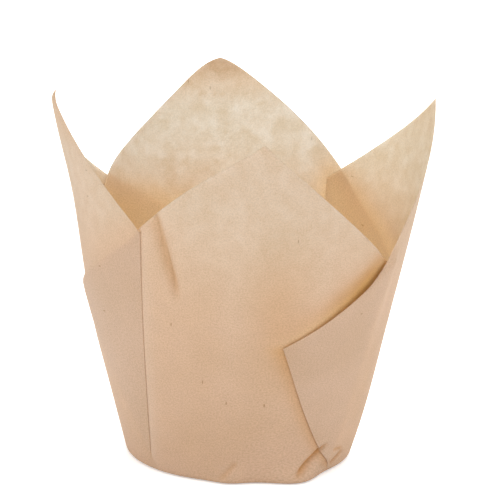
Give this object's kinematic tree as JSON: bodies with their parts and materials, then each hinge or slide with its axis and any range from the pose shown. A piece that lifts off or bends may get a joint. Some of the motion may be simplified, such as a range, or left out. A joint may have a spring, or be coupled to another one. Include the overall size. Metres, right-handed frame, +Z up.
{
  "type": "tulip baking cup",
  "caption": "Pleated paper baking cup with a round flat base and tall pointed petals, pressed from one square sheet, that holds a muffin.",
  "frame": {"origin": "centre of the round base, on its underside", "axes": "+Z up out of the cup's mouth; -Y toward the front petal, +X toward the right-hand petal"},
  "size_m": [0.0855, 0.0845, 0.0826],
  "materials": {
    "paper": "natural brown greaseproof baking paper, matt, lets some light through"
  },
  "bodies": {
    "root": {"baking_cup": "paper"}
  },
  "joints": []
}
